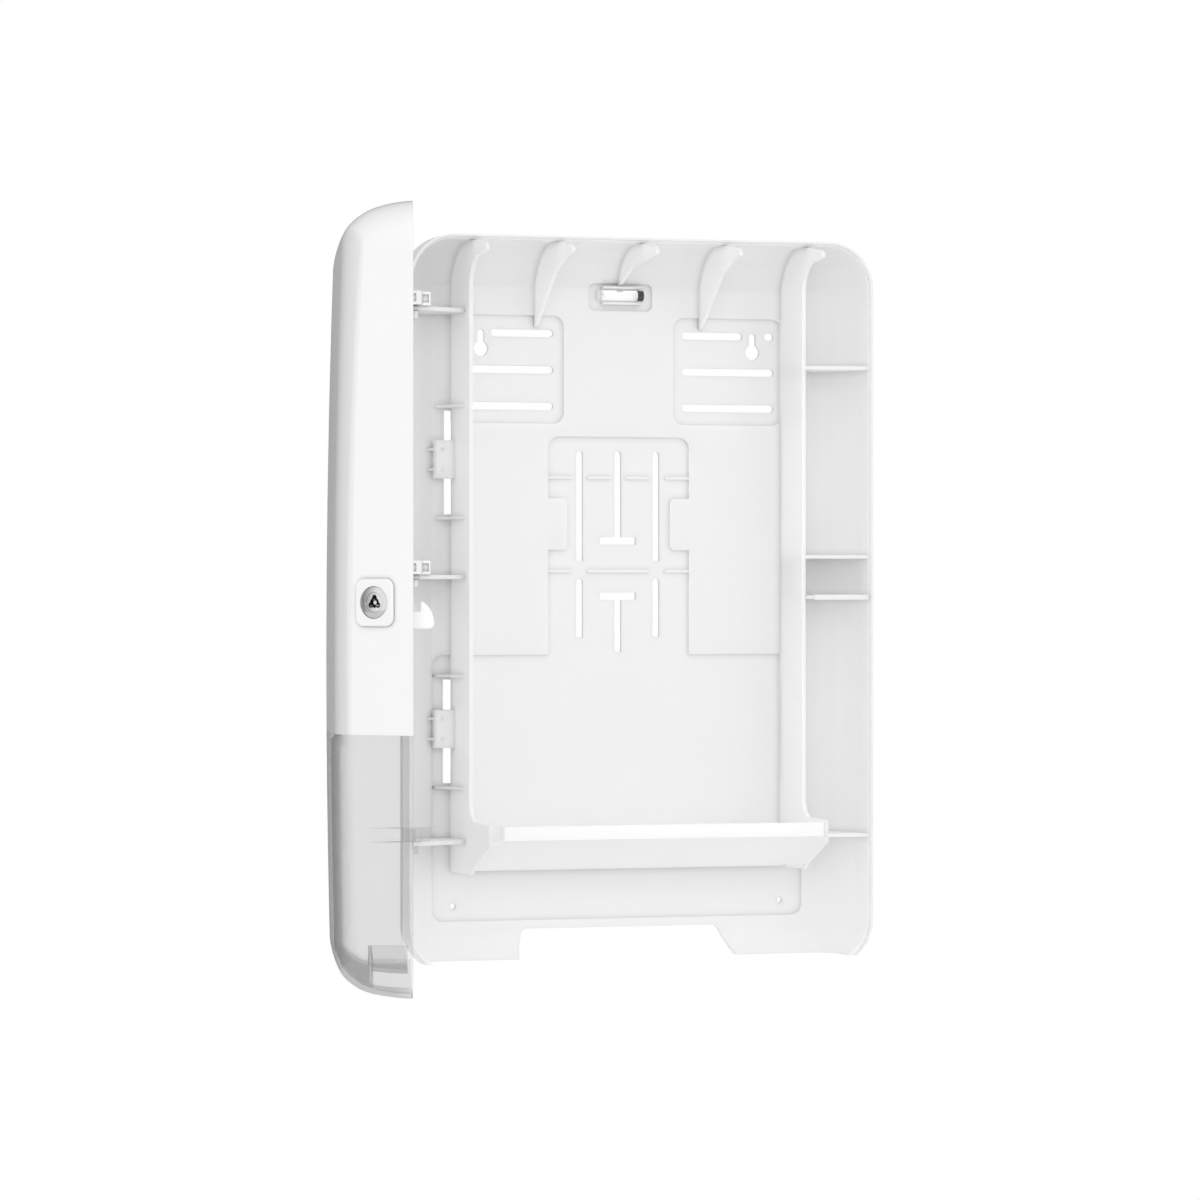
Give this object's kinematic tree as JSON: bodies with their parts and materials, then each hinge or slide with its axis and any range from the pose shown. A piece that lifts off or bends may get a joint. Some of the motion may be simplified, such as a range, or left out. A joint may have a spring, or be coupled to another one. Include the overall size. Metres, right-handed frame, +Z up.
{
  "type": "folded towel dispenser",
  "caption": "Wall dispenser for folded paper towels: white moulded back shell with magazine and chute, lockable side-hinged cover with a smoked lower part, swung open.",
  "frame": {"origin": "on the wall plane, at the middle of the back shell's width and height", "axes": "X to the right seen from the front, Y into the wall, Z up"},
  "size_m": [0.4129, 0.3311, 0.444],
  "materials": {
    "white_shell": "satin moulded",
    "white_cover": "gloss outside",
    "smoke": "clear smoked",
    "white_trim": "gloss",
    "lock_chrome": "polished plate",
    "steel": "zinc plated",
    "vial": "clear",
    "liquid": "clear liquid",
    "black_end": "matte"
  },
  "bodies": {
    "wall_body": {"back_shell": "white_shell", "level_vial": "vial", "level_fluid": "liquid", "level_end_plug": "black_end"},
    "cover": {"cover_upper": "white_cover", "cover_lower": "smoke", "lock_bezel": "white_trim", "lock_barrel": "lock_chrome", "lock_washer": "steel", "lock_nut": "steel", "latch_pivot_pin": "steel"},
    "plug": {"lock_plug": "lock_chrome", "key_centre_pin": "lock_chrome", "lock_cam": "steel", "cam_screw": "steel"},
    "hook": {"latch_hook": "white_trim"}
  },
  "joints": [
    {"name": "cover_hinge", "type": "hinge", "parent": "wall_body", "child": "cover", "pos_m": [-0.1455, -0.048, 0], "axis": [0, 0, 1], "range_deg": [0, 106]},
    {"name": "plug_turn", "type": "hinge", "parent": "cover", "child": "plug", "pos_m": [-0.24869, -0.31172, -0.0015], "axis": [-0.7741, -0.6331, 0], "range_deg": [0, 60]},
    {"name": "latch_swing", "type": "hinge", "parent": "cover", "child": "hook", "pos_m": [-0.24869, -0.29357, -0.0015], "axis": [-0.2756, -0.9613, 0], "range_deg": [0, 12.04]}
  ],
  "couplings": [
    {"joint": "latch_swing", "follows": "plug_turn", "ratio": 0.20067}
  ]
}
